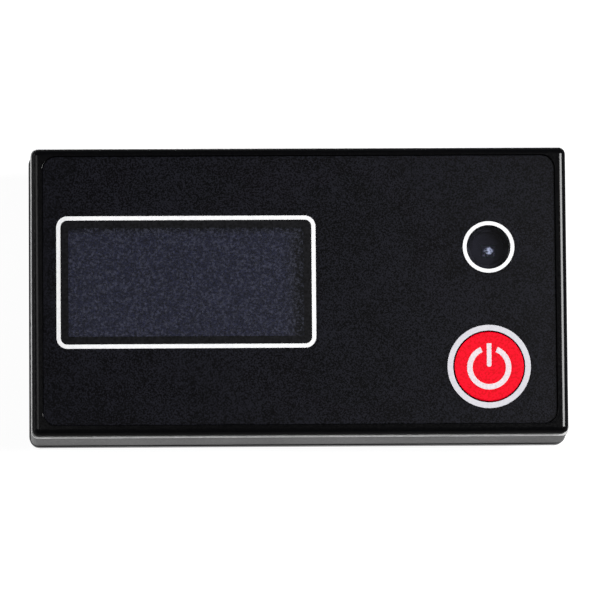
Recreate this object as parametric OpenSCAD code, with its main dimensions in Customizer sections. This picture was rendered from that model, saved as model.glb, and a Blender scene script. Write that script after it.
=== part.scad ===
// Pocket pager: a flat case of three shells with a display, an indicator and one power key on its
// front, a sprung belt clip behind, and its receiver, sounder, vibrator and cell inside.
// It lies on its back: X runs along the case, Y towards its upper edge, Z out of its front face.

/* [Case] */
// Width of the front frame
case_w = 78.25; // [78:0.25:80]
// Height of the front frame
case_h = 42; // [42:0.25:43]
// Thickness of the case without its belt clip
case_t = 18; // [18:0.25:20]
// How far the rear cover stands out past the front frame, above and below
flare = 0.8; // [0.7:0.05:1.0]
// Radius of the front frame's corners and rounded edge
frame_r = 0.9; // [0.8:0.05:1]
// Height of the front frame's skirt
frame_h = 2.5; // [2.3:0.1:2.8]
// Width of the raised rim below the face and at its sides
rim_w = 1.4; // [1.3:0.05:1.6]
// Width of the raised rim above the face
top_rim_w = 1.05; // [1.05:0.05:1.4]

/* [Display] */
// Width of the window
window_w = 36.7; // [34:0.1:36.8]
// Height of the window
window_h = 18.2; // [16:0.1:19]
// Width of the dark border between the window's edge and the picture area
border_w = 1.15; // [1:0.05:1.6]
// Width of the printed outline round the window
outline_w = 0.6; // [0.5:0.05:0.8]

/* [Key and indicator] */
// Radius of the power key
key_r = 5.15; // [4.65:0.05:5.2]
// How far the power key can be pressed
key_travel = 0.35; // [0.2:0.05:0.35]
// Radius of the indicator's lens
lens_r = 3.15; // [2.5:0.05:3.2]

/* [Belt clip] */
// Gap between the case and the outer face of the belt clip
clip_room = 7; // [7:0.1:7.6]
// Width of the belt clip
clip_w = 26; // [25:0.5:30]
// Thickness of the belt clip's plate
clip_t = 1.8; // [1.6:0.05:1.8]

/* [Hidden] */
$fn = 64;
hull_fn = 32;
eps = 0.01;
// Running gap round a piece that slides, and the close gap of pieces that are fixed
slide_gap = 0.15;
fit_gap = 0.05;

// Heights, from the clip's outer face at zero up to the rim of the front frame
rear_z = clip_room;
floor_z = rear_z + 1.6;
cover_top_z = rear_z + 4;
front_z = rear_z + case_t;
seam_z = front_z - frame_h;
rim_depth = 0.5;
overlay_t = 0.4;
overlay_top_z = front_z - rim_depth;
plate_top_z = overlay_top_z - overlay_t;
plate_z = plate_top_z - 1.3;
board_z = front_z - 5.8;
board_t = 1;
board_top_z = board_z + board_t;
flange_z = board_top_z + 1.8;
ink_t = 0.05;

// The front frame is this much wider, per side, than the width that the other shells are set out from
side_trim = 0.125;
body_w = case_w - 2 * side_trim;

// Half sizes of the hollow inside the three shells
hollow_x = body_w / 2 - 1.5;
hollow_y = case_h / 2 - 1.5;
tongue_gap = 0.1;
tongue_t = 0.75;
tongue_x = hollow_x - tongue_gap;
tongue_y = hollow_y - tongue_gap;

// Middle frame: the ledge by which it stands out past the front frame, the step by which it stays
// short of the cover, and the flat gasket on its front edge
ledge = 0.3;
step = 0.2;
gasket_t = 0.3;
gasket_w = 1.2;

// Face layout, measured from the middle of the face
window_x = -16.6;
window_y = 1.4;
window_r = 1;
lens_x = 27.7;
lens_y = 6.35;
led_x = 28;
led_y = 6.1;
key_x = 27.6;
key_y = -11.2;
key_rise = 0.1;
flange_w = 0.9;
flange_t = 0.6;
ring_gap = 0.13;
key_ring_w = 0.82;
lens_ring_w = 0.56;

// Screws: their places, and radii of their shanks and heads
screw_at = [[-34.5, 17], [34.5, 17], [-34.5, -17], [34.5, -4.2]];
shank_r = 1;
head_r = 1.9;
head_t = 1.3;
boss_r = 2.1;

// AAA cell, which lies along the lower edge
cell_r = 5.25;
cell_l = 44.5;
cell_x = -16;
cell_y = -13.2;
cell_z = rear_z + 1.5 + cell_r;
bay_x0 = -20.8;
bay_x1 = 29;
bay_wall = 1;

// Battery door: the opening in the rear cover, and the wider slot that its edges run in
door_x0 = -19.5;
door_y0 = -18.6;
door_y1 = -7.8;
slot_x0 = door_x0 - 0.9;
slot_y0 = door_y0 - 0.8;
slot_y1 = door_y1 + 0.8;
slot_z = rear_z + 0.9;
slot_h = 0.6;
door_lip_top = rear_z + 3.1;

// Belt clip: its hinge pin, knuckles and lugs
pin_y = 14.5;
pin_z = clip_t + 2.2;
pin_r = 1;
knuckle_r = 2.2;
lug_r = 2;
knuckle_x = [5, 8.8];
lug_x = [9, 12];
clip_y0 = -19;
clip_y1 = 20;
hook_r = 0.9;

// What stands on the board: the ribbon's left end, the top of the switch, the dome of the LED, and
// the middle of the sounder's port, which faces the sound slots
ribbon_x = window_x + window_w / 2 + 1.3;
switch_top_z = board_top_z + 1.5;
led_dome_r = 0.55;
port_y = -7.15;

// Vibrator motor, which lies along X
motor_x = 4;
motor_y = 12;
motor_z = floor_z + 4.8;
motor_r = 3;

// ---- shapes that repeat ----

// Rectangle with round corners, centred, exact arcs
module rounded_rect(w, h, r) {
    square([w - 2 * r, h], center = true);
    square([w, h - 2 * r], center = true);
    for (sx = [-1, 1], sy = [-1, 1])
        translate([sx * (w / 2 - r), sy * (h / 2 - r)])
            circle(r);
}

// Upright slab of a rounded rectangle, from height z over thickness t
module slab(w, h, r, z, t) {
    translate([0, 0, z])
        linear_extrude(t)
            rounded_rect(w, h, r);
}

// Upright wall that follows a rounded rectangle, of thickness t inwards
module ring_wall(w, h, r, t, z, height) {
    difference() {
        slab(w, h, r, z, height);
        slab(w - 2 * t, h - 2 * t, max(r - t, 0.2), z - 1, height + 2);
    }
}

// Box from its low corner to its high corner
module block(low, high) {
    translate(low)
        cube(high - low);
}

module disc(x, y, r, z, t) {
    translate([x, y, z])
        cylinder(r = r, h = t);
}

// Round bar along X from x0 to x1
module x_bar(x0, x1, y, z, r) {
    translate([x0, y, z])
        rotate([0, 90, 0])
            cylinder(r = r, h = x1 - x0);
}

module at_screws() {
    for (p = screw_at)
        translate([p[0], p[1], 0])
            children();
}

// Four corner pieces of a plan w by h, for a hull
module at_corners(w, h, r) {
    for (sx = [-1, 1], sy = [-1, 1])
        translate([sx * (w / 2 - r), sy * (h / 2 - r), 0])
            children();
}

// Wire wound along +X from radius r0 to r1, starting at the origin
module coil(r0, r1, wire_r, length, turns, sides = 8, per_turn = 16) {
    rings = turns * per_turn;
    points = [
        for (i = [0:rings])
            let (t = i / rings, turn = 360 * turns * t, middle = r0 + (r1 - r0) * t)
                for (j = [0:sides - 1])
                    let (a = 360 * j / sides, out = middle + wire_r * cos(a))
                        [length * t + wire_r * sin(a), out * cos(turn), out * sin(turn)]
    ];
    walls = [
        for (i = [0:rings - 1], j = [0:sides - 1])
            let (a = i * sides + j, b = i * sides + (j + 1) % sides)
                each [[a, b, b + sides], [a, b + sides, a + sides]]
    ];
    start = [for (j = [0:sides - 1]) sides - 1 - j];
    finish = [for (j = [0:sides - 1]) rings * sides + j];
    polyhedron(points = points, faces = concat(walls, [start], [finish]));
}

// ---- front ----

// Plan of the sunken face, shrunk by a gap all round, from height z over thickness t
module face_slab(gap, z, t) {
    translate([0, (rim_w - top_rim_w) / 2, 0])
        slab(body_w - 2 * rim_w - 2 * gap, case_h - rim_w - top_rim_w - 2 * gap, 2.1 - gap, z, t);
}

// Gloss black frame: a rounded rim round a sunken face plate, with holes for the window, the
// indicator and the key, a tongue that enters the middle frame, and four bosses for the screws
module front_frame() {
    color([0.03, 0.03, 0.035])
    difference() {
        union() {
            difference() {
                hull() {
                    at_corners(case_w, case_h, frame_r)
                        translate([0, 0, front_z - frame_r])
                            sphere(r = frame_r, $fn = hull_fn);
                    at_corners(case_w, case_h, frame_r)
                        translate([0, 0, seam_z])
                            cylinder(r = frame_r, h = 0.1, $fn = hull_fn);
                }
                face_slab(0, plate_top_z, 2);
                slab(2 * tongue_x - 2 * tongue_t, 2 * tongue_y - 2 * tongue_t, 1,
                     seam_z - 1, plate_z - seam_z + 1);
            }
            ring_wall(2 * tongue_x, 2 * tongue_y, 1, tongue_t, board_top_z + 0.5,
                      plate_z - board_top_z - 0.4);
            at_screws()
                translate([0, 0, board_top_z])
                    cylinder(r = boss_r, h = plate_z - board_top_z + 0.1);
        }
        translate([window_x, window_y, 0])
            slab(window_w, window_h, window_r, plate_z - 1, 4);
        disc(lens_x, lens_y, lens_r + fit_gap, plate_z - 1, 4);
        disc(key_x, key_y, key_r + 0.1, plate_z - 1, 4);
        at_screws()
            translate([0, 0, board_top_z - 1])
                cylinder(r = shank_r + 0.02, h = 4.2);
    }
}

// Black face film with a fine grain, cut out for the window, the lens and the key
module face_overlay() {
    color([0.1, 0.1, 0.115])
    difference() {
        face_slab(0.1, plate_top_z, overlay_t);
        translate([window_x, window_y, 0])
            slab(window_w, window_h, window_r, plate_top_z - 1, 4);
        disc(lens_x, lens_y, lens_r + fit_gap, plate_top_z - 1, 4);
        disc(key_x, key_y, key_r + 0.1, plate_top_z - 1, 4);
    }
}

module ink_ring(x, y, inner_r, w) {
    difference() {
        disc(x, y, inner_r + w, overlay_top_z, ink_t);
        disc(x, y, inner_r, overlay_top_z - 1, 3);
    }
}

// White outlines printed on the face film: round the window, the lens and the key
module printed_outlines() {
    color("white") {
        translate([window_x, window_y, 0])
            ring_wall(window_w + 2 * outline_w, window_h + 2 * outline_w, window_r + outline_w,
                      outline_w, overlay_top_z, ink_t);
        ink_ring(lens_x, lens_y, lens_r + 0.08, lens_ring_w);
        ink_ring(key_x, key_y, key_r + ring_gap, key_ring_w);
    }
}

// Tinted window pane, flush with the face, held behind the face plate by its flange
module display_window() {
    color([0.16, 0.17, 0.22])
    translate([window_x, window_y, 0]) {
        slab(window_w - 0.1, window_h - 0.1, window_r, plate_z - eps, overlay_top_z - plate_z + eps);
        slab(window_w + 2.4, window_h + 2.4, window_r, flange_z, plate_z - flange_z);
    }
}

// Dark border printed on the window's face, round the picture area
module window_border() {
    color([0.09, 0.09, 0.1])
        translate([window_x, window_y, 0])
            ring_wall(window_w - 0.1, window_h - 0.1, window_r, border_w - 0.05, overlay_top_z, 0.03);
}

// Smoked lens of the indicator, held by its flange
module indicator_lens() {
    color([0.14, 0.14, 0.16]) {
        disc(lens_x, lens_y, lens_r, plate_z - eps, overlay_top_z - plate_z + eps);
        disc(lens_x, lens_y, lens_r + flange_w, plate_z - flange_t, flange_t);
    }
}

// Red key cap with a flange behind the face plate, which keeps it in
module power_key() {
    color([0.98, 0.1, 0.18]) {
        disc(key_x, key_y, key_r - fit_gap, plate_z - 0.1, overlay_top_z - plate_z + 0.1 + key_rise);
        disc(key_x, key_y, key_r + flange_w, plate_z - flange_t, flange_t - 0.05);
    }
}

// White power symbol on the key: an open ring and a bar in its gap
module key_symbol() {
    arc_r = 3.24;
    arc_w = 0.8;
    gap = 23;
    bar_w = 0.68;
    bar_top = 3.55;
    color("white")
    translate([key_x, key_y - 0.15, overlay_top_z + key_rise])
        linear_extrude(ink_t) {
            difference() {
                circle(arc_r);
                circle(arc_r - arc_w);
                polygon([[0, 0], [-10 * tan(gap), 10], [10 * tan(gap), 10]]);
            }
            translate([-bar_w / 2, bar_w / 2 + 0.1])
                square([bar_w, bar_top - bar_w / 2 - 0.1]);
            translate([0, bar_w / 2 + 0.1])
                circle(bar_w / 2);
        }
}

// Light grey flat gasket between the front frame and the middle frame; its edge shows as a line
module front_seal() {
    reach = 2 * ledge - 0.06;
    color([0.7, 0.7, 0.7])
        ring_wall(body_w + reach, case_h + reach, frame_r + ledge, gasket_w,
                  seam_z - gasket_t, gasket_t);
}

// ---- middle ----

module middle_shell() {
    edge_r = frame_r + ledge;
    hull() {
        slab(body_w + 2 * ledge, case_h + 2 * ledge, edge_r, seam_z - gasket_t - 0.05, 0.05,
             $fn = hull_fn);
        slab(body_w + 2 * (flare - step), case_h + 2 * (flare - step), edge_r, cover_top_z, 0.05,
             $fn = hull_fn);
    }
}

// Grey middle frame: the four side walls, with sound slots in the left one
module middle_frame() {
    slots = 5;
    slot_pitch = 1.6;
    slot_w = 0.9;
    color([0.42, 0.42, 0.42])
    difference() {
        middle_shell();
        slab(2 * hollow_x, 2 * hollow_y, 1, cover_top_z - 1, case_t);
        for (i = [0:slots - 1])
            translate([-body_w / 2 - 2, port_y + (i - 2) * slot_pitch - slot_w / 2, board_z - 5.6])
                cube([4, slot_w, 5]);
    }
}

// Acoustic mesh behind the sound slots
module sound_mesh() {
    color([0.2, 0.2, 0.2])
        block([-hollow_x, -11.8, board_z - 5.9], [-hollow_x + 0.25, -2.5, board_z - 0.3]);
}

// ---- rear ----

module cover_shell() {
    edge_r = 1.5;
    w = body_w + 2 * flare;
    h = case_h + 2 * flare;
    hull() {
        at_corners(w, h, edge_r)
            translate([0, 0, rear_z + edge_r])
                sphere(r = edge_r, $fn = hull_fn);
        at_corners(w, h, edge_r)
            translate([0, 0, cover_top_z - 0.1])
                cylinder(r = edge_r, h = 0.1, $fn = hull_fn);
    }
}

// Opening for the battery door: the hole, the slot for its edges and the notch in the end wall
module door_opening(gap) {
    block([door_x0 + gap, door_y0 + gap, rear_z - 1], [case_w, door_y1 - gap, slot_z + 0.1]);
    block([slot_x0 + gap, slot_y0 + gap, slot_z + gap / 3],
          [case_w, slot_y1 - gap, slot_z + slot_h - gap / 2]);
}

module clip_lug() {
    for (side = [-1, 1]) {
        x0 = side > 0 ? lug_x[0] : -lug_x[1];
        x_bar(x0, x0 + lug_x[1] - lug_x[0], pin_y, pin_z, lug_r);
        block([x0, pin_y - lug_r, pin_z], [x0 + lug_x[1] - lug_x[0], pin_y + lug_r, rear_z + 0.1]);
    }
}

// Battery bay: its long wall, its two end walls, and the floor past its right end
module bay_walls() {
    low_z = floor_z - 0.1;
    top_z = cell_z + 2.5;
    long_y = door_y1 + 1.3;
    block([bay_x0 - bay_wall, door_y1, low_z], [bay_x1 + bay_wall, long_y, top_z]);
    block([bay_x0 - bay_wall, -tongue_y, low_z], [bay_x0, door_y1 + 1, top_z]);
    block([bay_x1, -tongue_y, low_z], [bay_x1 + bay_wall, door_y1 + 1, top_z]);
    block([bay_x1, -tongue_y, low_z], [tongue_x, long_y, floor_z + 0.9]);
}

// Black rear cover: its rim, bosses and battery bay, the lugs of the belt clip, and the rails
// that the battery door slides in
module rear_cover() {
    color([0.05, 0.05, 0.055])
    difference() {
        union() {
            difference() {
                cover_shell();
                slab(2 * (tongue_x - tongue_t), 2 * (tongue_y - tongue_t), 1, floor_z, 10);
                ring_wall(2 * hollow_x + 2.8, 2 * hollow_y + 2.8, 1.5, 0.8, cover_top_z - 0.4, 1);
            }
            ring_wall(2 * tongue_x, 2 * tongue_y, 1, tongue_t, floor_z, 4.4);
            at_screws()
                translate([0, 0, floor_z - 0.1])
                    cylinder(r = boss_r, h = board_z - floor_z + 0.1);
            bay_walls();
            clip_lug();
        }
        door_opening(0);
        block([body_w / 2 - 1.1, door_y0, rear_z - 1], [case_w, door_y1, door_lip_top + 0.1]);
        block([bay_x0, door_y0, floor_z - 1], [bay_x1, door_y1, floor_z + 1]);
        at_screws() {
            translate([0, 0, rear_z - 1])
                cylinder(r = shank_r + 0.15, h = 20);
            translate([0, 0, rear_z - 1])
                cylinder(r = head_r + 0.15, h = 1 + head_t + 0.15);
        }
        x_bar(-clip_w, clip_w, pin_y, pin_z, pin_r + 0.02);
    }
}

// Rubber cord in the groove of the rear cover's edge
module rear_seal() {
    color([0.12, 0.12, 0.12])
        ring_wall(2 * hollow_x + 2.7, 2 * hollow_y + 2.7, 1.4, 0.7, cover_top_z - 0.4, 0.4);
}

// Battery door: a plate with edges that run in the slot, and an end lip that fills the notch
module battery_door() {
    grip_x = 31;
    color([0.06, 0.06, 0.065])
    difference() {
        intersection() {
            cover_shell();
            union() {
                block([door_x0 + slide_gap, door_y0 + slide_gap, rear_z - 1],
                      [case_w, door_y1 - slide_gap, slot_z + slot_h - 0.1]);
                block([slot_x0 + slide_gap, slot_y0 + slide_gap, slot_z + 0.06],
                      [body_w / 2 - 1.4, slot_y1 - slide_gap, slot_z + slot_h - 0.1]);
                block([body_w / 2 - 1, door_y0 + slide_gap, rear_z - 1],
                      [case_w, door_y1 - slide_gap, door_lip_top]);
            }
        }
        // Thumb grip: five grooves across the outer face
        for (i = [0:4])
            translate([grip_x + i * 1.2, cell_y - 3.5, rear_z - 1])
                cube([0.6, 7, 1.35]);
    }
}

// Four cross-head screws that clamp cover, board and front frame
module case_screws() {
    color([0.75, 0.75, 0.77])
    at_screws()
        difference() {
            union() {
                translate([0, 0, rear_z + 0.15])
                    cylinder(r = head_r, h = head_t);
                translate([0, 0, rear_z + head_t])
                    cylinder(r = shank_r, h = plate_z - rear_z - head_t);
            }
            for (turn = [0, 90])
                rotate([0, 0, turn])
                    translate([-1.1, -0.25, rear_z - 1])
                        cube([2.2, 0.5, 1.85]);
        }
}

// Belt clip: a flat plate with a hooked tip, a thumb end with grooves and two hinge knuckles
module belt_clip() {
    corner_r = 3;
    hook_z = rear_z - 0.15 - hook_r;
    color([0.05, 0.05, 0.055])
    difference() {
        union() {
            intersection() {
                translate([0, (clip_y0 + clip_y1) / 2, 0])
                    slab(clip_w, clip_y1 - clip_y0, corner_r, -1, 20);
                union() {
                    block([-clip_w, clip_y0, 0], [clip_w, clip_y1, clip_t]);
                    block([-clip_w, clip_y0, clip_t - eps], [clip_w, clip_y0 + 2 * hook_r, hook_z]);
                    x_bar(-clip_w, clip_w, clip_y0 + hook_r, hook_z, hook_r);
                }
            }
            for (side = [-1, 1]) {
                x0 = side > 0 ? knuckle_x[0] : -knuckle_x[1];
                x1 = x0 + knuckle_x[1] - knuckle_x[0];
                x_bar(x0, x1, pin_y, pin_z, knuckle_r);
                block([x0, pin_y - knuckle_r, clip_t / 2], [x1, pin_y + knuckle_r, pin_z]);
            }
        }
        x_bar(-clip_w, clip_w, pin_y, pin_z, pin_r + 0.05);
        for (i = [0:2])
            translate([-8, 17 + i * 0.9, -1])
                cube([16, 0.45, 1.3]);
    }
}

// Steel hinge pin, fixed in the cover's lugs
module clip_pin() {
    color([0.7, 0.7, 0.72])
        x_bar(-lug_x[1], lug_x[1], pin_y, pin_z, pin_r);
}

// Torsion spring round the pin: its long leg lies on the cover, its short one on the clip
module clip_spring() {
    wire = 0.3;
    color([0.7, 0.7, 0.72]) {
        translate([-4, pin_y, pin_z])
            coil(1.5, 1.5, wire, 8, 6);
        translate([-4, pin_y, pin_z + 1.5])
            rotate([60, 0, 0])
                cylinder(r = wire, h = 2.6);
        translate([4, pin_y, pin_z - 1.5])
            rotate([-97, 0, 0])
                cylinder(r = wire, h = 3);
    }
}

// ---- inside ----

module main_board() {
    color([0.05, 0.35, 0.2])
    difference() {
        slab(2 * hollow_x - 1.4, 2 * hollow_y - 1.4, 1, board_z, board_t);
        at_screws()
            translate([0, 0, board_z - 1])
                cylinder(r = shank_r + 0.25, h = 4);
    }
}

// Small resistors and capacitors in two rows on the back of the board
module board_parts() {
    color([0.6, 0.5, 0.35])
    for (i = [0:5], j = [0:1])
        translate([5 + i * 2.6, -6.6 + j * 14, board_z - 0.6])
            cube([1.6, 0.8, 0.6]);
}

module display_frame() {
    color([0.08, 0.08, 0.09])
    translate([window_x, window_y, 0])
    difference() {
        slab(window_w + 2.4, window_h + 2.4, window_r, board_top_z, flange_z - board_top_z);
        slab(window_w - 1.3, window_h - 1.3, 0.5, board_top_z, 4);
        slab(window_w + 0.8, window_h + 0.8, 0.5, board_top_z - 1, flange_z - board_top_z + 0.4);
    }
}

module display_panel() {
    color([0.19, 0.2, 0.27])
    translate([window_x, window_y, 0])
        slab(window_w + 0.6, window_h + 0.6, 0.4, board_top_z + 0.5, 0.7);
}

module display_backlight() {
    color([0.85, 0.85, 0.82])
    translate([window_x, window_y, 0])
        slab(window_w + 0.4, window_h + 0.4, 0.4, board_top_z, 0.5);
}

// Flat ribbon from the display to its socket on the board
module display_ribbon() {
    color([0.85, 0.55, 0.15])
        block([ribbon_x, -4, board_top_z], [ribbon_x + 3, 6, board_top_z + 0.15]);
}

module ribbon_socket() {
    color([0.9, 0.88, 0.8])
        block([ribbon_x + 3.05, -4.8, board_top_z], [ribbon_x + 6.2, 6.8, board_top_z + 1.2]);
}

// Tact switch under the key, with a bore for its plunger
module power_switch() {
    color([0.15, 0.15, 0.16])
    difference() {
        block([key_x - 3, key_y - 3, board_top_z], [key_x + 3, key_y + 3, switch_top_z]);
        disc(key_x, key_y, 1.65, switch_top_z - key_travel - 0.4, 2);
    }
}

module switch_plunger() {
    color([0.9, 0.9, 0.88])
        disc(key_x, key_y, 1.6, switch_top_z - 0.3, plate_z - flange_t - switch_top_z + 0.3);
}

// Small surface LED: its base and its clear dome
module indicator_led() {
    base_t = 0.5;
    dome_z = board_top_z + base_t + 0.2;
    color([0.95, 0.93, 0.8]) {
        block([led_x - 1, led_y - 0.8, board_top_z], [led_x + 1, led_y + 0.8, board_top_z + base_t]);
        disc(led_x, led_y, led_dome_r, board_top_z + base_t - 0.1, 0.3);
        translate([led_x, led_y, dome_z])
            sphere(r = led_dome_r);
    }
}

// Black cup round the LED, which keeps its light to the lens
module led_baffle() {
    cup_r = 3;
    color([0.12, 0.12, 0.13])
    difference() {
        disc(lens_x, lens_y, cup_r, board_top_z, plate_z - flange_t - board_top_z);
        disc(lens_x, lens_y, cup_r - 0.5, board_top_z + 0.35, 4);
        block([led_x - 1.1, led_y - 0.9, board_top_z - 1], [led_x + 1.1, led_y + 0.9, board_top_z + 1]);
    }
}

// Sounder with its port towards the sound slots
module sounder() {
    color([0.1, 0.1, 0.1])
    difference() {
        block([-hollow_x + 0.35, -11.4, board_z - 5.2], [-hollow_x + 9.35, -2.9, board_z]);
        x_bar(-hollow_x - 1, -hollow_x + 3, port_y, board_z - 2.6, 1.5);
    }
}

module motor_case() {
    color([0.72, 0.72, 0.74])
    difference() {
        x_bar(motor_x, motor_x + 11, motor_y, motor_z, motor_r);
        x_bar(motor_x + 8, motor_x + 12, motor_y, motor_z, 0.45);
    }
}

// Rubber cradle that holds the motor on the cover's floor
module motor_cradle() {
    mouth_y = motor_r - 0.3;
    color([0.15, 0.15, 0.15])
    difference() {
        block([motor_x + 0.5, motor_y - 4, floor_z], [motor_x + 10.5, motor_y + 4, motor_z + 0.8]);
        x_bar(motor_x - 1, motor_x + 12, motor_y, motor_z, motor_r + 0.02);
        block([motor_x - 1, motor_y - mouth_y, motor_z], [motor_x + 12, motor_y + mouth_y, motor_z + 4]);
    }
}

module motor_shaft() {
    color([0.8, 0.8, 0.82])
        x_bar(motor_x + 8.1, motor_x + 16, motor_y, motor_z, 0.4);
}

// Eccentric half-round weight on the motor's shaft
module motor_weight() {
    color([0.78, 0.7, 0.45])
    difference() {
        x_bar(motor_x + 12, motor_x + 16, motor_y, motor_z, motor_r - 0.1);
        x_bar(motor_x + 11, motor_x + 17, motor_y, motor_z, 0.4);
        block([motor_x + 11, motor_y - 4, motor_z + 0.9], [motor_x + 17, motor_y + 4, motor_z + 4]);
    }
}

// Thin metal can over the receiver
module receiver_shield() {
    color([0.75, 0.75, 0.76])
    difference() {
        block([-24, -4, board_z - 3], [-4, 10, board_z]);
        block([-23.7, -3.7, board_z - 2.7], [-4.3, 9.7, board_z + 1]);
    }
}

// Flat metal strip bent into an open loop, standing on the back of the board
module loop_antenna() {
    low = board_z - 6;
    color([0.8, 0.6, 0.3])
    difference() {
        block([-30, 12, low], [-2, 17.5, board_z]);
        block([-29.5, 12.5, low - 1], [-2.5, 17, board_z + 1]);
        block([-18, 11, low - 1], [-14, 13, board_z + 1]);
    }
}

module crystal() {
    color([0.78, 0.78, 0.8])
    translate([26.5, 12, board_z - 3.5])
        linear_extrude(3.5)
            rounded_rect(11, 4.5, 2.2);
}

// Control chip with rows of leads on two sides
module control_chip() {
    color([0.12, 0.12, 0.13]) {
        block([6, -3.5, board_z - 1.4], [16, 3.5, board_z - 0.1]);
        for (i = [0:7], side = [-1, 1])
            translate([6.6 + i * 1.2, side * 4.1 - 0.7, board_z - 0.6])
                cube([0.5, 1.4, 0.6]);
    }
}

module decoder_chip() {
    color([0.12, 0.12, 0.13])
        block([21, -2, board_z - 1.1], [28, 5, board_z]);
}

// AAA cell: its can and the raised pole at its right end
module battery_cell() {
    color([0.2, 0.35, 0.6]) {
        x_bar(cell_x, cell_x + cell_l - 0.8, cell_y, cell_z, cell_r);
        x_bar(cell_x, cell_x + cell_l, cell_y, cell_z, 1.9);
    }
}

// Conical contact spring at the cell's flat end, on its backing plate
module battery_spring() {
    plate_t = 0.3;
    wire = 0.35;
    length = cell_x - bay_x0 - plate_t - 2 * wire;
    color([0.8, 0.8, 0.82]) {
        block([bay_x0, cell_y - 4, cell_z - 3.5], [bay_x0 + plate_t, cell_y + 4, cell_z + 4]);
        translate([bay_x0 + plate_t + wire - 0.1, cell_y, cell_z])
            coil(3.4, 2.2, wire, length, 4);
    }
}

// Contact plate at the cell's raised pole
module battery_plate() {
    color([0.8, 0.8, 0.82])
        block([cell_x + cell_l, cell_y - 4, cell_z - 3.5], [bay_x1, cell_y + 4, cell_z + 4]);
}

front_frame();
face_overlay();
printed_outlines();
display_window();
window_border();
indicator_lens();
power_key();
key_symbol();
front_seal();
middle_frame();
sound_mesh();
rear_seal();
rear_cover();
battery_door();
case_screws();
belt_clip();
clip_pin();
clip_spring();
main_board();
board_parts();
display_frame();
display_panel();
display_backlight();
display_ribbon();
ribbon_socket();
power_switch();
switch_plunger();
indicator_led();
led_baffle();
sounder();
motor_case();
motor_cradle();
motor_shaft();
motor_weight();
receiver_shield();
loop_antenna();
crystal();
control_chip();
decoder_chip();
battery_cell();
battery_spring();
battery_plate();
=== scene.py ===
import math

import bmesh
import bpy
from mathutils import Matrix, Vector


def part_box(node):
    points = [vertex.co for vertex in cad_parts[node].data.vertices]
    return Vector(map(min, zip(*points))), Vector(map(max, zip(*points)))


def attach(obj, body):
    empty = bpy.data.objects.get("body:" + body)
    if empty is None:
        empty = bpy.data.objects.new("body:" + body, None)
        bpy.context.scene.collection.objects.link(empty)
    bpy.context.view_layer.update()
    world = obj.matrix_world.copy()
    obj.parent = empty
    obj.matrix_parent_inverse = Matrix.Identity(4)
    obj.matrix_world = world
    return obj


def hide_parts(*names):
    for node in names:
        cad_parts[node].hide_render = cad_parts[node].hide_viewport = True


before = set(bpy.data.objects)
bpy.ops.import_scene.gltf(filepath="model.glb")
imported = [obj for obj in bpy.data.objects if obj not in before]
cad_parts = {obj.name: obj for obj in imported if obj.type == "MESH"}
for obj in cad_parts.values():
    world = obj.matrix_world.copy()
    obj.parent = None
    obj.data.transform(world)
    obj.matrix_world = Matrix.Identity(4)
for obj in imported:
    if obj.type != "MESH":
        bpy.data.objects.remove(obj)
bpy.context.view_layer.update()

MM = 0.001


# ---- the view ----
# The pager lies on its back and is seen from almost straight above its face, a little from below
# its lower edge and from its left, through a long lens.
scene = bpy.context.scene
face_low, face_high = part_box("front_frame")
face_middle = (face_low + face_high) / 2
face_middle.z = face_high.z
lean_down = math.radians(5.32)
lean_left = math.radians(2.02)
roll = math.radians(-0.46)
distance = 0.745
back = Vector((-math.sin(lean_left), -math.sin(lean_down) * math.cos(lean_left),
               math.cos(lean_down) * math.cos(lean_left))).normalized()
level = Vector((0, 1, 0)).cross(back).normalized()
square_up = back.cross(level)
across = math.cos(roll) * level + math.sin(roll) * square_up
upwards = -math.sin(roll) * level + math.cos(roll) * square_up
lens = bpy.data.cameras.new("camera")
lens.sensor_width = 36
lens.lens = 306
lens.shift_y = -0.0155
lens.clip_start = 0.05
lens.clip_end = 20
camera = bpy.data.objects.new("camera", lens)
scene.collection.objects.link(camera)
camera.matrix_world = Matrix((
    (across.x, upwards.x, back.x, face_middle.x + back.x * distance),
    (across.y, upwards.y, back.y, face_middle.y + back.y * distance),
    (across.z, upwards.z, back.z, face_middle.z + back.z * distance),
    (0, 0, 0, 1)))
scene.camera = camera


# ---- the studio ----
# A white light table in a dark room, a bright soft box high on the right, a weak one on the left
# and a low one that lights the left flank. The gloss rim shows the first two as lines along its
# sides.
bpy.ops.mesh.primitive_plane_add(size=6, location=(0, 0, -0.00002))
table_top = bpy.context.object
table_top.name = "table_top"
white_top = bpy.data.materials.new("white_table")
white_top.use_nodes = True
table_shader = white_top.node_tree.nodes["Principled BSDF"]
table_shader.inputs["Base Color"].default_value = (0.2, 0.2, 0.2, 1)
table_shader.inputs["Roughness"].default_value = 0.9
table_shader.inputs["Specular IOR Level"].default_value = 0.0
table_shader.inputs["Emission Color"].default_value = (1, 1, 1, 1)
table_shader.inputs["Emission Strength"].default_value = 0.93
table_top.data.materials.append(white_top)


def soft_box(name, place, width, length, watts):
    """A rectangular lamp that faces the middle of the table."""
    lamp = bpy.data.lights.new(name, "AREA")
    lamp.shape = "RECTANGLE"
    lamp.size, lamp.size_y = width, length
    lamp.energy = watts
    box = bpy.data.objects.new(name, lamp)
    scene.collection.objects.link(box)
    box.location = place
    box.rotation_mode = "QUATERNION"
    box.rotation_quaternion = (-Vector(place)).to_track_quat("-Z", "Y")


soft_box("right_box", (0.48, 0.06, 0.72), 0.26, 0.5, 8.3)
soft_box("left_box", (-0.36, 0.08, 0.77), 0.10, 0.6, 0.36)
soft_box("low_left_box", (-1.2, 0.1, 0.13), 1.0, 0.12, 18)

room = bpy.data.worlds.new("room")
scene.world = room
room.use_nodes = True
room.node_tree.nodes["Background"].inputs["Color"].default_value = (0.03, 0.03, 0.033, 1)
scene.view_settings.view_transform = "Standard"


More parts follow.
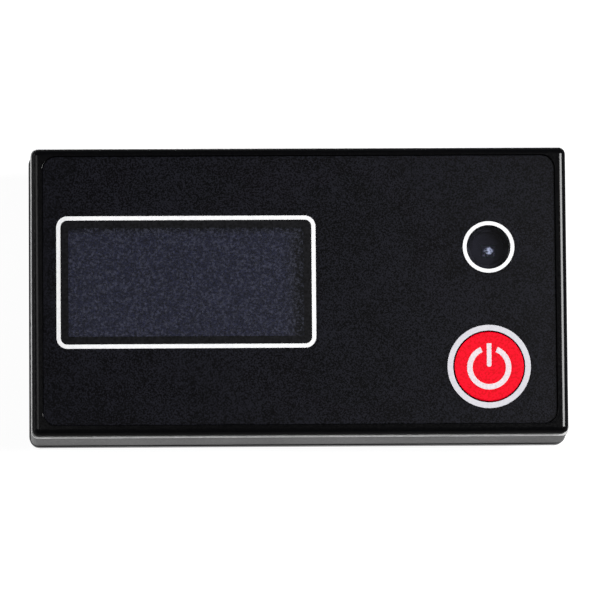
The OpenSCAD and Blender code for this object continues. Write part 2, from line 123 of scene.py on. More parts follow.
# ---- rear cover ----
# A moulded black tray with the battery bay, the screw posts and the lugs of the belt clip. It is
# one moulding, so its shape is the designed one, with every outer edge broken.
def only(piece):
    """Leaves this piece as the one that is selected and active."""
    bpy.ops.object.select_all(action="DESELECT")
    piece.select_set(True)
    bpy.context.view_layer.objects.active = piece


def finish_surface(piece, material, slot, body, *nodes, angle=32):
    """Smooths a modelled piece, gives it its finish, and puts it in place of its nodes."""
    only(piece)
    bpy.ops.object.shade_smooth_by_angle(angle=math.radians(angle))
    flats = piece.modifiers.new("flats", "WEIGHTED_NORMAL")
    flats.keep_sharp = True
    flats.weight = 80
    bpy.ops.object.modifier_apply(modifier="flats")
    piece.data.materials.clear()
    piece.data.materials.append(material)
    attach(piece, body)
    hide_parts(*nodes)


def designed_shape(node, name, edge=0.0, segments=2):
    """A clean copy of a designed part, with its loose triangles joined and its sharp edges broken."""
    piece = bpy.data.objects.new(name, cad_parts[node].data.copy())
    scene.collection.objects.link(piece)
    only(piece)
    bpy.ops.mesh.customdata_custom_splitnormals_clear()
    bpy.ops.object.mode_set(mode="EDIT")
    bpy.ops.mesh.select_all(action="SELECT")
    bpy.ops.mesh.remove_doubles(threshold=0.002 * MM)
    bpy.ops.mesh.dissolve_limited(angle_limit=math.radians(0.4))
    bpy.ops.object.mode_set(mode="OBJECT")
    if edge:
        breaker = piece.modifiers.new("edge", "BEVEL")
        breaker.width = edge
        breaker.segments = segments
        breaker.limit_method = "ANGLE"
        breaker.angle_limit = math.radians(40)
        breaker.use_clamp_overlap = True
        bpy.ops.object.modifier_apply(modifier="edge")
    return piece


def new_finish(name):
    """A new Principled finish and what it is built with: its nodes, links, shader and the place."""
    material = bpy.data.materials.new(name)
    material.use_nodes = True
    nodes, links = material.node_tree.nodes, material.node_tree.links
    place = nodes.new("ShaderNodeTexCoord").outputs["Object"]
    return material, nodes, links, nodes["Principled BSDF"], place


def add_noise(nodes, links, place, scale, detail=2.0, roughness=0.5):
    noise = nodes.new("ShaderNodeTexNoise")
    noise.inputs["Scale"].default_value = scale
    noise.inputs["Detail"].default_value = detail
    noise.inputs["Roughness"].default_value = roughness
    links.new(place, noise.inputs["Vector"])
    return noise.outputs["Fac"]


def add_ramp(nodes, links, source, stops):
    ramp = nodes.new("ShaderNodeValToRGB")
    first, last = ramp.color_ramp.elements
    first.position, first.color = stops[0][0], (*stops[0][1], 1)
    last.position, last.color = stops[-1][0], (*stops[-1][1], 1)
    for position, colour in stops[1:-1]:
        ramp.color_ramp.elements.new(position).color = (*colour, 1)
    links.new(source, ramp.inputs["Fac"])
    return ramp.outputs["Color"]


def add_range(nodes, links, source, low, high, from_low=0.3, from_high=0.7):
    spread = nodes.new("ShaderNodeMapRange")
    spread.inputs["From Min"].default_value = from_low
    spread.inputs["From Max"].default_value = from_high
    spread.inputs["To Min"].default_value = low
    spread.inputs["To Max"].default_value = high
    links.new(source, spread.inputs["Value"])
    return spread.outputs["Result"]


def add_mix(nodes, links, first, second, share):
    mixed = nodes.new("ShaderNodeMix")
    mixed.data_type = "FLOAT"
    mixed.inputs["Factor"].default_value = share
    links.new(first, mixed.inputs["A"])
    links.new(second, mixed.inputs["B"])
    return mixed.outputs["Result"]


def add_bump(nodes, links, shader, source, strength, depth):
    bump = nodes.new("ShaderNodeBump")
    bump.inputs["Strength"].default_value = strength
    bump.inputs["Distance"].default_value = depth
    links.new(source, bump.inputs["Height"])
    links.new(bump.outputs["Normal"], shader.inputs["Normal"])


def spark_texture(name, dark, light, roughness, grain=3200, depth=0.02 * MM, strength=0.5):
    """Moulded plastic from a spark-eroded tool: a fine grain in tone, gloss and relief."""
    material, nodes, links, shader, place = new_finish(name)
    fine = add_noise(nodes, links, place, grain, 3.0, 0.6)
    broad = add_noise(nodes, links, place, 60, 2.0)
    tone = add_mix(nodes, links, fine, broad, 0.25)
    links.new(add_ramp(nodes, links, tone, [(0.35, dark), (0.65, light)]), shader.inputs["Base Color"])
    links.new(add_range(nodes, links, fine, roughness - 0.06, roughness + 0.08),
              shader.inputs["Roughness"])
    add_bump(nodes, links, shader, fine, strength, depth)
    return material


black_moulding = spark_texture("black_moulding", (0.010, 0.010, 0.011), (0.022, 0.022, 0.024), 0.42)
rear_cover = designed_shape("rear_cover", "rear_cover_moulding", edge=0.12 * MM)
finish_surface(rear_cover, black_moulding, "matte_black", "case", "rear_cover")


# ---- middle frame ----
# The grey side walls: one moulding that widens towards the rear cover, with a row of sound slots
# in its left wall. Its surface has the fine grain of the tool.
def block(name, low, high):
    """A box from its low corner to its high corner, with its place in its mesh."""
    low, high = Vector(low), Vector(high)
    bpy.ops.object.select_all(action="DESELECT")
    bpy.ops.mesh.primitive_cube_add(size=1, location=(low + high) / 2)
    piece = bpy.context.object
    piece.name = name
    piece.scale = high - low
    bpy.ops.object.transform_apply(location=True, rotation=True, scale=True)
    return piece


def bevel_edges(piece, width, segments, chosen):
    """Rounds the edges for which chosen(start, end) holds."""
    only(piece)
    bpy.ops.object.mode_set(mode="EDIT")
    bpy.ops.mesh.select_mode(type="EDGE")
    bpy.ops.mesh.select_all(action="DESELECT")
    net = bmesh.from_edit_mesh(piece.data)
    for edge in net.edges:
        if chosen(edge.verts[0].co, edge.verts[1].co):
            edge.select_set(True)
    bmesh.update_edit_mesh(piece.data)
    bpy.ops.mesh.bevel(offset=width, segments=segments, profile=0.5, affect="EDGES",
                       clamp_overlap=True)
    bpy.ops.object.mode_set(mode="OBJECT")


def upright(start, end):
    return abs(start.z - end.z) > 0.05 * MM and (start - end).to_2d().length < 0.01 * MM


def along_x(start, end):
    return abs(start.x - end.x) > 0.2 * MM


def at_height(z):
    return lambda start, end: abs(start.z - z) < 0.01 * MM and abs(end.z - z) < 0.01 * MM


def cut(piece, *tools, operation="DIFFERENCE"):
    """Cuts the tools out of the piece, or joins them to it, and throws the tools away."""
    for tool in tools:
        only(piece)
        change = piece.modifiers.new("cut", "BOOLEAN")
        change.operation = operation
        change.solver = "EXACT"
        change.object = tool
        bpy.ops.object.modifier_apply(modifier="cut")
        bpy.data.objects.remove(tool, do_unlink=True)


def tray_cutter(low, high, corner, segments=10):
    """A box with its four upright edges rounded."""
    tool = block("cutter", low, high)
    bevel_edges(tool, corner, segments, upright)
    return tool


middle_low, middle_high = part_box("middle_frame")
gasket_low, gasket_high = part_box("front_seal")
seam = middle_high.z
seam_half = gasket_high.xy + Vector((0.03, 0.03)) * MM
hollow = Vector((37.5, 19.5, 0)) * MM
case_corner, hollow_corner, edge_break = 1.05 * MM, 1 * MM, 0.10 * MM
middle_frame = block("middle_frame_moulding", middle_low, middle_high)
bevel_edges(middle_frame, case_corner, 12, upright)
only(middle_frame)
bpy.ops.object.mode_set(mode="EDIT")
bpy.ops.mesh.select_mode(type="VERT")
bpy.ops.mesh.select_all(action="DESELECT")
net = bmesh.from_edit_mesh(middle_frame.data)
for point in net.verts:
    point.select_set(abs(point.co.z - seam) < 0.01 * MM)
bmesh.update_edit_mesh(middle_frame.data)
bpy.ops.transform.resize(value=(seam_half.x / middle_high.x, seam_half.y / middle_high.y, 1),
                         center_override=(0, 0, seam))
bpy.ops.object.mode_set(mode="OBJECT")
cut(middle_frame, tray_cutter((-hollow.x, -hollow.y, middle_low.z - MM),
                              (hollow.x, hollow.y, seam + MM), hollow_corner))
bevel_edges(middle_frame, edge_break, 2, at_height(seam))
bevel_edges(middle_frame, edge_break, 2, at_height(middle_low.z))
slot_width, slot_pitch, slot_middle = 0.9 * MM, 1.6 * MM, -7.15 * MM
slot_foot, slot_top, slot_round = 13.6 * MM, 18.6 * MM, 0.42 * MM
for number in range(-2, 3):
    middle = slot_middle + number * slot_pitch
    slot_tool = block("slot", (middle_low.x - MM, middle - slot_width / 2, slot_foot),
                      (-hollow.x + MM, middle + slot_width / 2, slot_top))
    bevel_edges(slot_tool, slot_round, 6, along_x)
    cut(middle_frame, slot_tool)
grey_moulding = spark_texture("grey_moulding", (0.006, 0.006, 0.007), (0.150, 0.150, 0.150), 0.55,
                              depth=0.04 * MM, strength=0.9)
grey_moulding.node_tree.nodes["Principled BSDF"].inputs["Specular IOR Level"].default_value = 0.10
finish_surface(middle_frame, grey_moulding, "grey_moulding", "case", "middle_frame")


# ---- front gasket ----
# A flat strip of light grey silicone between the middle frame and the front frame. It stands out
# a little past the black frame all round.
gasket_corner, gasket_width = 0.95 * MM, 1.2 * MM
gasket = tray_cutter(gasket_low, gasket_high, gasket_corner, 12)
gasket.name = "front_gasket"
gasket_hole = Vector((gasket_high.x - gasket_width, gasket_high.y - gasket_width, 0))
cut(gasket, tray_cutter((-gasket_hole.x, -gasket_hole.y, gasket_low.z - MM),
                        (gasket_hole.x, gasket_hole.y, gasket_high.z + MM), 0.5 * MM))
bevel_edges(gasket, 0.10 * MM, 3, at_height(gasket_high.z))
silicone = spark_texture("grey_silicone", (0.58, 0.58, 0.58), (0.74, 0.74, 0.74), 0.6, grain=1800)
finish_surface(gasket, silicone, "gasket_grey", "case", "front_seal")


# ---- front frame ----
# Black moulding: a round-edged rim about a sunken plate, pierced for the window, the lens and the
# key, with a tongue that locates it in the middle frame and four screw posts. The rim is polished
# and its flank is left matt from the tool.
frame_low, frame_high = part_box("front_frame")
film_low, film_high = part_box("face_overlay")
window_low, window_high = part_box("display_window")
lens_low, lens_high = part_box("indicator_lens")
key_low, key_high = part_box("power_key")
lens_middle = (lens_low + lens_high) / 2
key_middle = (key_low + key_high) / 2
window_middle = (window_low + window_high) / 2
pane = Vector((36.6, 18.1, 0)) * MM / 2
lens_radius = (lens_high.x - lens_low.x) / 2 - 0.9 * MM
cap_radius = (key_high.x - key_low.x) / 2 - 0.95 * MM
frame_base = frame_high.z - 2.5 * MM
flank_slope = 0.80
recess_floor = film_low.z
plate_back = recess_floor - 1.3 * MM
well_x, well_y = 36.6 * MM, 18.6 * MM
tongue_x, tongue_y = 37.4 * MM, 19.4 * MM
bore_x, bore_y, bore_foot, bore_top = 36.65 * MM, 18.65 * MM, 20 * MM, 24 * MM
tongue_foot = 20.7 * MM
frame_corner, rim_round, inner_corner = 0.98 * MM, 0.95 * MM, 1.0 * MM
recess_gap, hole_gap = 0.1 * MM, 0.05 * MM


def round_tool(middle, radius, low, high):
    bpy.ops.object.select_all(action="DESELECT")
    bpy.ops.mesh.primitive_cylinder_add(vertices=96, radius=radius, depth=high - low,
                                        location=(middle.x, middle.y, (low + high) / 2))
    tool = bpy.context.object
    bpy.ops.object.transform_apply(location=True, rotation=True, scale=True)
    return tool


def pierce_face(piece, low, high, gap):
    """The three holes of the face: window, lens and key."""
    window_tool = tray_cutter((window_middle.x - pane.x - gap, window_middle.y - pane.y - gap, low),
                              (window_middle.x + pane.x + gap, window_middle.y + pane.y + gap, high),
                              1.0 * MM)
    cut(piece, window_tool,
        round_tool(lens_middle, lens_radius + gap, low, high),
        round_tool(key_middle, cap_radius + 2 * gap + 0.05 * MM, low, high))


front_frame = block("front_frame_moulding", (frame_low.x, frame_low.y, frame_base), frame_high)
bevel_edges(front_frame, frame_corner, 12, upright)
bevel_edges(front_frame, rim_round, 12, at_height(frame_high.z))
cut(front_frame,
    tray_cutter((film_low.x - recess_gap, film_low.y - recess_gap, recess_floor),
                (film_high.x + recess_gap, film_high.y + recess_gap, frame_high.z + MM), 2.1 * MM, 14),
    tray_cutter((-well_x, -well_y, frame_base - MM), (well_x, well_y, plate_back), inner_corner))


def recess_corners(start, end):
    """The short edges at the recess's four corners, at the top of the rim."""
    inside = abs(start.x) < film_high.x + 0.12 * MM and abs(start.y) < film_high.y + 0.12 * MM
    return at_height(frame_high.z)(start, end) and inside and (start - end).length < MM


bevel_edges(front_frame, 0.08 * MM, 2, recess_corners)
tongue = tray_cutter((-tongue_x, -tongue_y, tongue_foot),
                     (tongue_x, tongue_y, plate_back + 0.1 * MM), inner_corner)
cut(tongue, tray_cutter((-bore_x, -bore_y, bore_foot), (bore_x, bore_y, bore_top), 0.4 * MM))
cut(front_frame, tongue, operation="UNION")
pierce_face(front_frame, plate_back - MM, frame_high.z + MM, hole_gap)
post_radius, post_foot = 2.1 * MM, 20.2 * MM
pilot_radius, pilot_foot, pilot_top = 1.02 * MM, 19 * MM, 23.4 * MM
for screw_x, screw_y in ((-34.5, 17), (34.5, 17), (-34.5, -17), (34.5, -4.2)):
    post = Vector((screw_x, screw_y, 0)) * MM
    cut(front_frame, round_tool(post, post_radius, post_foot, plate_back + 0.1 * MM),
        operation="UNION")
    cut(front_frame, round_tool(post, pilot_radius, pilot_foot, pilot_top))


def gloss_moulding():
    """Polished black plastic: a deep gloss with a slight ripple and faint handling marks."""
    material, nodes, links, shader, place = new_finish("gloss_black")
    ripple = add_noise(nodes, links, place, 420, 2.0)
    marks = add_noise(nodes, links, place, 2600, 4.0, 0.7)
    tones = [(0.3, (0.0012, 0.0012, 0.0015)), (0.75, (0.0030, 0.0030, 0.0034))]
    links.new(add_ramp(nodes, links, marks, tones), shader.inputs["Base Color"])
    links.new(add_range(nodes, links, marks, 0.11, 0.20), shader.inputs["Roughness"])
    shader.inputs["Specular IOR Level"].default_value = 0.28
    add_bump(nodes, links, shader, ripple, 0.35, 0.03 * MM)
    return material


finish_surface(front_frame, gloss_moulding(), "gloss_black", "case", "front_frame")
flank = spark_texture("front_frame_flank", (0.0020, 0.0020, 0.0023), (0.0050, 0.0050, 0.0055), 0.6)
flank.node_tree.nodes["Principled BSDF"].inputs["Specular IOR Level"].default_value = 0.02
front_frame.data.materials.append(flank)
for face in front_frame.data.polygons:
    if face.normal.z < flank_slope:
        face.material_index = 1


# ---- face film ----
# The printed polycarbonate film stuck in the frame's recess. Its face has a fine velvet grain,
# which scatters small specks of light.
film_corner, film_edge = 2.0 * MM, 0.05 * MM
film = tray_cutter(film_low, film_high, film_corner, 14)
film.name = "face_film"
pierce_face(film, film_low.z - MM, film_high.z + MM, hole_gap)
bevel_edges(film, film_edge, 2, at_height(film_high.z))


def velvet_film(name, dark, light, roughness):
    """Printed film with a velvet grain and a faint cloud in its tone."""
    material, nodes, links, shader, place = new_finish(name)
    fine = add_noise(nodes, links, place, 4600, 2.0, 0.6)
    cloud = add_noise(nodes, links, place, 220, 3.0, 0.6)
    tone = add_mix(nodes, links, fine, cloud, 0.2)
    links.new(add_ramp(nodes, links, tone, [(0.46, dark), (0.57, light)]), shader.inputs["Base Color"])
    links.new(add_range(nodes, links, fine, roughness - 0.08, roughness + 0.08), shader.inputs["Roughness"])
    shader.inputs["Specular IOR Level"].default_value = 0.09
    add_bump(nodes, links, shader, fine, 0.4, 0.010 * MM)
    return material


finish_surface(film, velvet_film("velvet_film", (0.0, 0.0, 0.0006), (0.0072, 0.0074, 0.0120), 0.36),
               "face_film", "case", "face_overlay")


# ---- window ----
# A tinted pane that sits flush in the film's cut-out, with a flange behind the plate and a dark
# printed border round the picture area.
window_pane = tray_cutter((window_middle.x - pane.x, window_middle.y - pane.y, window_low.z),
                          (window_middle.x + pane.x, window_middle.y + pane.y, window_high.z), 1.0 * MM, 12)
window_pane.name = "window_pane"
bevel_edges(window_pane, 0.05 * MM, 2, at_height(window_high.z))
cut(window_pane, tray_cutter(window_low, (window_high.x, window_high.y, plate_back), 1.0 * MM),
    operation="UNION")


def tinted_pane(name, tint, haze_tone, haze, ior=1.4):
    """Clear tinted plastic with a fine matt grain on its face. Light passes straight through it."""
    material = bpy.data.materials.new(name)
    material.use_nodes = True
    nodes, links = material.node_tree.nodes, material.node_tree.links
    nodes.clear()
    place = nodes.new("ShaderNodeTexCoord").outputs["Object"]
    result = nodes.new("ShaderNodeOutputMaterial")
    through = nodes.new("ShaderNodeBsdfTransparent")
    through.inputs["Color"].default_value = (*tint, 1)
    matt = nodes.new("ShaderNodeBsdfDiffuse")
    matt.inputs["Color"].default_value = (*haze_tone, 1)
    gloss = nodes.new("ShaderNodeBsdfGlossy")
    gloss.inputs["Roughness"].default_value = 0.25
    grain = add_noise(nodes, links, place, 3000, 3.0, 0.7)
    body = nodes.new("ShaderNodeMixShader")
    links.new(add_range(nodes, links, grain, 0.0, haze, 0.48, 0.66), body.inputs["Fac"])
    links.new(through.outputs[0], body.inputs[1])
    links.new(matt.outputs[0], body.inputs[2])
    glance = nodes.new("ShaderNodeFresnel")
    glance.inputs["IOR"].default_value = ior
    skin = nodes.new("ShaderNodeMixShader")
    links.new(glance.outputs[0], skin.inputs["Fac"])
    links.new(body.outputs[0], skin.inputs[1])
    links.new(gloss.outputs[0], skin.inputs[2])
    links.new(skin.outputs[0], result.inputs["Surface"])
    return material


finish_surface(window_pane, tinted_pane("window_tint", (0.62, 0.62, 0.66), (0.20, 0.21, 0.30), 0.16),
               "tinted_pane", "case", "display_window")


# ---- window border ----
# Black ink printed on the face of the window, round the picture area. It hides the edges of the
# panel and of its holder.
def ink(name, colour, dark, roughness=0.45, level=0.25):
    """Printed ink: an even tone with the grain of the film beneath it."""
    material, nodes, links, shader, place = new_finish(name)
    fine = add_noise(nodes, links, place, 3000, 2.0, 0.6)
    links.new(add_ramp(nodes, links, fine, [(0.36, dark), (0.6, colour)]), shader.inputs["Base Color"])
    links.new(add_range(nodes, links, fine, roughness - 0.06, roughness + 0.06), shader.inputs["Roughness"])
    shader.inputs["Specular IOR Level"].default_value = level
    add_bump(nodes, links, shader, fine, 0.3, 0.008 * MM)
    return material


def dress(material, slot, *nodes):
    """A designed part whose shape stays, with its finish."""
    for node in nodes:
        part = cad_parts[node]
        part.data.materials.clear()
        part.data.materials.append(material)


dress(ink("border_ink", (0.0060, 0.0060, 0.0075), (0.0010, 0.0010, 0.0016), level=0.09),
      "border_print", "window_border")


# ---- display ----
# The switched-off panel behind the window: a dark blue-black cell in a black holder, on a white
# diffuser.
panel_finish, nodes, links, shader, place = new_finish("panel_glass")
cells = add_noise(nodes, links, place, 4600, 2.0, 0.6)
links.new(add_ramp(nodes, links, cells, [(0.38, (0.004, 0.008, 0.030)), (0.62, (0.070, 0.084, 0.188))]),
          shader.inputs["Base Color"])
shader.inputs["Roughness"].default_value = 0.35
shader.inputs["Specular IOR Level"].default_value = 0.3
dress(panel_finish, "panel_glass", "display_panel")
holder = spark_texture("black_holder", (0.016, 0.016, 0.019), (0.028, 0.028, 0.032), 0.5)
dress(holder, "holder_black", "display_frame", "led_baffle", "power_switch")
white_resin = spark_texture("white_resin", (0.80, 0.80, 0.77), (0.90, 0.90, 0.88), 0.45)
dress(white_resin, "diffuser_white", "display_backlight")


# ---- indicator ----
# A smoked lens, flush with the film, over a small surface LED in a black cup. The LED's dome
# shows through it as a pale point, which is a painted highlight with a painted glow at the dome's top.
lens_disc = round_tool(lens_middle, lens_radius, lens_low.z, lens_high.z)
lens_disc.name = "indicator_lens_disc"
bevel_edges(lens_disc, 0.12 * MM, 3, at_height(lens_high.z))
cut(lens_disc, round_tool(lens_middle, lens_high.x - lens_middle.x, lens_low.z, plate_back),
    operation="UNION")
finish_surface(lens_disc, tinted_pane("smoked_tint", (0.60, 0.60, 0.66), (0.14, 0.14, 0.20), 0.03, ior=1.22),
               "smoked_lens", "case", "indicator_lens")

# Painted highlight: the LED's colour is painted white at the top of its dome and fades to a grey body within
# about a millimetre, with a ragged edge.
led_highlight_finish, nodes, links, shader, place = new_finish("led_resin")
led_low, led_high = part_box("indicator_led")
led_middle = (led_low + led_high) / 2
from_dome = nodes.new("ShaderNodeVectorMath")
from_dome.operation = "DISTANCE"
from_dome.inputs[1].default_value = (led_middle.x, led_middle.y, led_high.z)
links.new(place, from_dome.inputs[0])
highlight_edge_noise = add_range(nodes, links, add_noise(nodes, links, place, 3200, 2.0), -0.45 * MM, 0.45 * MM)
highlight_reach = nodes.new("ShaderNodeMath")
highlight_reach.operation = "ADD"
links.new(from_dome.outputs["Value"], highlight_reach.inputs[0])
links.new(highlight_edge_noise, highlight_reach.inputs[1])
highlight_mask = add_range(nodes, links, highlight_reach.outputs["Value"], 1, 0, 0.0, 1.1 * MM)
highlight_tones = [(0.0, (0.10, 0.10, 0.11)), (0.5, (0.5, 0.52, 0.58)), (1.0, (0.95, 0.97, 1.0))]
links.new(add_ramp(nodes, links, highlight_mask, highlight_tones), shader.inputs["Base Color"])
shader.inputs["Roughness"].default_value = 0.2
# Painted glow: the same spot also gives off light of its own.
painted_glow_tones = [(0.3, (0.0, 0.0, 0.0)), (1.0, (0.76, 0.86, 1.0))]
links.new(add_ramp(nodes, links, highlight_mask, painted_glow_tones), shader.inputs["Emission Color"])
shader.inputs["Emission Strength"].default_value = 1.3
dress(led_highlight_finish, "led_resin", "indicator_led")


# ---- power key ----
# A red cap with a broken edge that stands a hair proud of the film, kept in by a flange behind the
# plate. Its power symbol is printed in white.
key_cap = round_tool(key_middle, cap_radius, key_low.z, key_high.z)
key_cap.name = "power_key_cap"
bevel_edges(key_cap, 0.22 * MM, 4, at_height(key_high.z))
flange_top = key_low.z + 0.55 * MM
cut(key_cap, round_tool(key_middle, key_high.x - key_middle.x, key_low.z, flange_top), operation="UNION")
finish_surface(key_cap, ink("red_cap", (0.98, 0.0028, 0.022), (0.70, 0.0010, 0.009), 0.5, level=0.07),
               "red_key", "key", "power_key")
dress(ink("symbol_ink", (0.86, 0.76, 0.80), (0.72, 0.62, 0.66), 0.5), "white_print", "key_symbol")
dress(white_resin, "socket_cream", "switch_plunger", "ribbon_socket")


# ---- face print ----
# White ink printed on the film, round the window, the lens and the key. It is one coat round the
# window and the lens, and thinner, so greyer, round the key.
def thin_near(material, middle, radius, tone):
    """Tones a finish within a radius of a point."""
    nodes, links = material.node_tree.nodes, material.node_tree.links
    colour = nodes["Principled BSDF"].inputs["Base Color"]
    away = nodes.new("ShaderNodeVectorMath")
    away.operation = "DISTANCE"
    away.inputs[1].default_value = middle
    links.new(nodes["Texture Coordinate"].outputs["Object"], away.inputs[0])
    beyond = add_range(nodes, links, away.outputs["Value"], 0, 1, radius, radius + 0.1 * MM)
    toned = nodes.new("ShaderNodeMix")
    toned.data_type = "RGBA"
    toned.blend_type = "MULTIPLY"
    toned.inputs["Factor"].default_value = 1
    links.new(colour.links[0].from_socket, toned.inputs["A"])
    links.new(add_ramp(nodes, links, beyond, [(0.0, tone), (1.0, (1.0, 1.0, 1.0))]), toned.inputs["B"])
    links.new(toned.outputs["Result"], colour)


white_ink = ink("white_ink", (0.97, 0.97, 0.97), (0.88, 0.88, 0.90), 0.5)
thin_near(white_ink, (key_middle.x, key_middle.y, film_high.z), cap_radius + 2 * MM, (0.72, 0.71, 0.75))
dress(white_ink, "white_print", "printed_outlines")


# ---- battery door ----
# A flat plate whose edges run in the rear cover's slot, with grip grooves and an end lip that
# completes the case's right-hand end.
battery_door = designed_shape("battery_door", "battery_door_moulding", edge=0.10 * MM)
finish_surface(battery_door, black_moulding, "matte_black", "door", "battery_door")


# ---- belt clip ----
# A springy black moulding: a flat plate with a hooked tip, a grooved thumb end and two knuckles
# that turn on a steel pin.
belt_clip = designed_shape("belt_clip", "belt_clip_moulding", edge=0.20 * MM, segments=3)
finish_surface(belt_clip, black_moulding, "matte_black", "clip", "belt_clip")


# ---- clip pin and screws ----
# The clip's hinge pin, pressed into the cover's lugs, and the four screws that close the case from
# behind. All are turned steel, plated with zinc.
def drawn_metal(name, dark, light, roughness):
    """Bright metal with fine drawing lines and a slightly cloudy surface."""
    material, nodes, links, shader, place = new_finish(name)
    fine = add_noise(nodes, links, place, 900, 4.0, 0.65)
    links.new(add_ramp(nodes, links, fine, [(0.3, dark), (0.7, light)]), shader.inputs["Base Color"])
    links.new(add_range(nodes, links, fine, roughness - 0.08, roughness + 0.1), shader.inputs["Roughness"])
    shader.inputs["Metallic"].default_value = 1.0
    add_bump(nodes, links, shader, fine, 0.3, 0.01 * MM)
    return material


zinc = drawn_metal("zinc_steel", (0.50, 0.50, 0.52), (0.66, 0.66, 0.68), 0.3)
pin = designed_shape("clip_pin", "clip_pin_turned", edge=0.12 * MM)
finish_surface(pin, zinc, "zinc_steel", "case", "clip_pin")
screws = designed_shape("case_screws", "case_screws_turned", edge=0.08 * MM)
finish_surface(screws, zinc, "zinc_steel", "case", "case_screws")
dress(zinc, "zinc_steel", "battery_plate", "motor_shaft")


# ---- springs ----
# The clip's torsion spring is wound round the hinge pin, with one leg on the cover and one just
# above the clip. The cell's contact spring is a cone of plated wire on a backing plate.
def wound_wire(name, wire_radius, stretches):
    """A round wire drawn through stretches of points, made a closed mesh."""
    curve = bpy.data.curves.new(name, "CURVE")
    curve.dimensions = "3D"
    curve.bevel_depth = wire_radius
    curve.bevel_resolution = 4
    curve.use_fill_caps = True
    route = curve.splines.new("POLY")
    points = [point for stretch in stretches for point in stretch]
    route.points.add(len(points) - 1)
    for spot, point in zip(route.points, points):
        spot.co = (*point, 1)
    wire = bpy.data.objects.new(name, curve)
    scene.collection.objects.link(wire)
    only(wire)
    bpy.ops.object.convert(target="MESH")
    return bpy.context.object


def winding(start, length, first_radius, last_radius, turns):
    """The points of a coil that runs along +X and starts above its axis."""
    steps = int(turns * 28)
    for step in range(steps + 1):
        share = step / steps
        angle = math.tau * (0.25 + share * turns)
        radius = first_radius + (last_radius - first_radius) * share
        yield start + Vector((length * share, radius * math.cos(angle), radius * math.sin(angle)))


pin_low, pin_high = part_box("clip_pin")
hinge = (pin_low + pin_high) / 2
spring_wire = 0.3 * MM
coil_radius, coil_length, coil_turns = 1.5 * MM, 8 * MM, 6.5
coil_start = Vector((-coil_length / 2, hinge.y, hinge.z))
leg_up = Vector((0, -math.sin(math.radians(60)), math.cos(math.radians(60)))) * 2.6 * MM
leg_down = Vector((0, math.sin(math.radians(91)), math.cos(math.radians(91)))) * 1.4 * MM
top_of_coil = coil_start + Vector((0, 0, coil_radius))
foot_of_coil = coil_start + Vector((coil_length, 0, -coil_radius))
clip_wire = wound_wire("clip_torsion_spring", spring_wire, (
    (top_of_coil + leg_up,), winding(coil_start, coil_length, coil_radius, coil_radius, coil_turns),
    (foot_of_coil + leg_down,)))
finish_surface(clip_wire, zinc, "zinc_steel", "case", "clip_spring", angle=60)

spring_low, spring_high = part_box("battery_spring")
cell_low, cell_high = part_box("battery_cell")
cell_middle = (cell_low + cell_high) / 2
backing = block("cell_contact_spring", spring_low,
                (spring_low.x + 0.3 * MM, spring_high.y, spring_high.z))
bevel_edges(backing, 0.5 * MM, 4, along_x)
contact_wire = 0.35 * MM
wide_end, narrow_end, contact_turns = 3.4 * MM, 2.2 * MM, 4
coil_from = Vector((spring_low.x + 0.5 * MM, cell_middle.y, cell_middle.z))
coil_run = spring_high.x - contact_wire - coil_from.x
contact_coil = wound_wire("contact_coil", contact_wire, (
    winding(coil_from, coil_run, wide_end, narrow_end, contact_turns),))
cut(backing, contact_coil, operation="UNION")
finish_surface(backing, zinc, "zinc_steel", "case", "battery_spring", angle=50)


# ---- cell ----
# A plain AAA cell: a steel can with crimped shoulders and a raised pole, in a shrunk plastic
# jacket with a bright band at its positive end.
can_radius = (cell_high.y - cell_low.y) / 2
pole_radius = 1.9 * MM
pole_length = 0.8 * MM
crimp = 0.55 * MM
can_length = cell_high.x - cell_low.x - pole_length
bpy.ops.object.select_all(action="DESELECT")
bpy.ops.mesh.primitive_cylinder_add(vertices=72, radius=can_radius, depth=can_length,
                                    rotation=(0, math.pi / 2, 0),
                                    location=(cell_low.x + can_length / 2, cell_middle.y, cell_middle.z))
cell = bpy.context.object
cell.name = "aaa_cell"
bpy.ops.object.transform_apply(location=True, rotation=True, scale=True)


def at_plane_x(x):
    return lambda start, end: abs(start.x - x) < 0.01 * MM and abs(end.x - x) < 0.01 * MM


shoulder = cell_low.x + can_length
bevel_edges(cell, crimp, 5, at_plane_x(cell_low.x))
bevel_edges(cell, crimp, 5, at_plane_x(shoulder))
bpy.ops.object.mode_set(mode="EDIT")
bpy.ops.mesh.select_mode(type="FACE")
bpy.ops.mesh.select_all(action="DESELECT")
net = bmesh.from_edit_mesh(cell.data)
for face in net.faces:
    face.select_set(face.calc_center_median().x > shoulder - 0.01 * MM)
bmesh.update_edit_mesh(cell.data)
bpy.ops.mesh.inset(thickness=can_radius - crimp - pole_radius)
bpy.ops.mesh.extrude_region_move(TRANSFORM_OT_translate={"value": (pole_length, 0, 0)})
bpy.ops.object.mode_set(mode="OBJECT")
bevel_edges(cell, 0.15 * MM, 3, at_plane_x(cell_high.x))

jacket, nodes, links, shader, place = new_finish("cell_jacket")
along = nodes.new("ShaderNodeSeparateXYZ")
links.new(place, along.inputs[0])
share = add_range(nodes, links, along.outputs["X"], 0, 1, cell_low.x, cell_high.x)
bands = nodes.new("ShaderNodeValToRGB")
bands.color_ramp.interpolation = "CONSTANT"
can_end, band_start, band_edge, pole_start = 0.012, 0.72, 0.735, 0.968
steel, blue, copper = (0.62, 0.62, 0.63, 1), (0.030, 0.055, 0.150, 1), (0.62, 0.30, 0.12, 1)
bands.color_ramp.elements[0].color = steel
bands.color_ramp.elements[1].position, bands.color_ramp.elements[1].color = can_end, blue
for position, colour in ((band_start, steel), (band_edge, copper), (pole_start, steel)):
    bands.color_ramp.elements.new(position).color = colour
links.new(share, bands.inputs["Fac"])
links.new(bands.outputs["Color"], shader.inputs["Base Color"])
metal = nodes.new("ShaderNodeValToRGB")
metal.color_ramp.interpolation = "CONSTANT"
metal.color_ramp.elements[0].color = (1, 1, 1, 1)
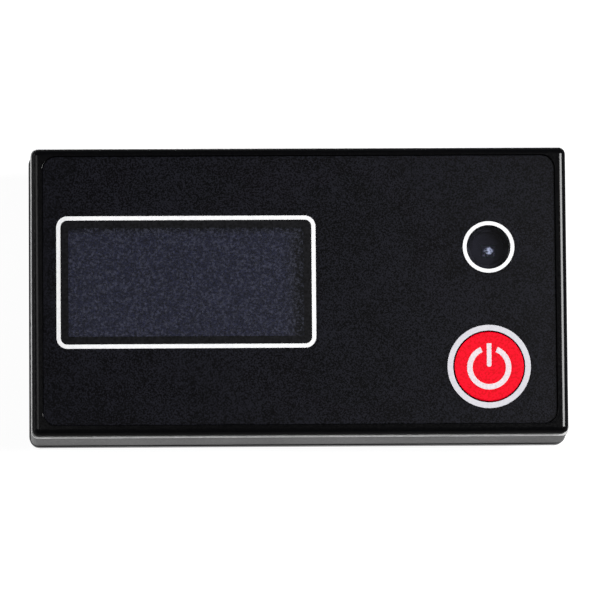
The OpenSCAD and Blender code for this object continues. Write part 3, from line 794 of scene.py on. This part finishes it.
metal.color_ramp.elements[1].position, metal.color_ramp.elements[1].color = can_end, (0, 0, 0, 1)
for position, level in ((band_start, 1), (band_edge, 0.7), (pole_start, 1)):
    metal.color_ramp.elements.new(position).color = (level, level, level, 1)
links.new(share, metal.inputs["Fac"])
links.new(metal.outputs["Color"], shader.inputs["Metallic"])
scuffs = add_noise(nodes, links, place, 260, 4.0, 0.6)
links.new(add_range(nodes, links, scuffs, 0.22, 0.42), shader.inputs["Roughness"])
add_bump(nodes, links, shader, scuffs, 0.2, 0.02 * MM)
finish_surface(cell, jacket, "cell_label", "case", "battery_cell", angle=35)


# ---- inside ----
# The board and what is soldered to it, the ribbon, the sounder and its mesh, the receiver's can and
# loop, the motor in its rubber cradle and the rear seal. All are bought or stamped parts that the
# case closes in.
board_green, nodes, links, shader, place = new_finish("board_green")
weave = add_noise(nodes, links, place, 2400, 2.0)
tracks = nodes.new("ShaderNodeTexBrick")
tracks.inputs["Scale"].default_value = 500
tracks.inputs["Mortar Size"].default_value = 0.06
tracks.inputs["Color1"].default_value = (0.012, 0.105, 0.045, 1)
tracks.inputs["Color2"].default_value = (0.014, 0.120, 0.052, 1)
tracks.inputs["Mortar"].default_value = (0.05, 0.24, 0.10, 1)
links.new(place, tracks.inputs["Vector"])
links.new(tracks.outputs["Color"], shader.inputs["Base Color"])
links.new(add_range(nodes, links, weave, 0.25, 0.4), shader.inputs["Roughness"])
add_bump(nodes, links, shader, weave, 0.3, 0.02 * MM)
dress(board_green, "board_green", "main_board")
dress(spark_texture("chip_tan", (0.28, 0.20, 0.12), (0.40, 0.30, 0.20), 0.5), "part_tan", "board_parts")
dress(spark_texture("chip_black", (0.018, 0.018, 0.020), (0.035, 0.035, 0.038), 0.55), "holder_black",
      "control_chip", "decoder_chip", "sounder")
dress(spark_texture("amber_film", (0.42, 0.17, 0.02), (0.55, 0.25, 0.04), 0.3), "ribbon_amber",
      "display_ribbon")
tin = drawn_metal("tinned_can", (0.58, 0.58, 0.59), (0.72, 0.72, 0.73), 0.35)
dress(tin, "bright_can", "receiver_shield", "crystal", "motor_case")
dress(drawn_metal("plain_brass", (0.50, 0.34, 0.12), (0.66, 0.48, 0.20), 0.35), "weight_brass",
      "loop_antenna", "motor_weight")
dress(spark_texture("black_rubber", (0.012, 0.012, 0.012), (0.024, 0.024, 0.024), 0.7), "seal_rubber",
      "rear_seal", "motor_cradle")
dress(spark_texture("mesh_cloth", (0.01, 0.01, 0.01), (0.05, 0.05, 0.05), 0.9, grain=5000),
      "mesh_cloth", "sound_mesh")
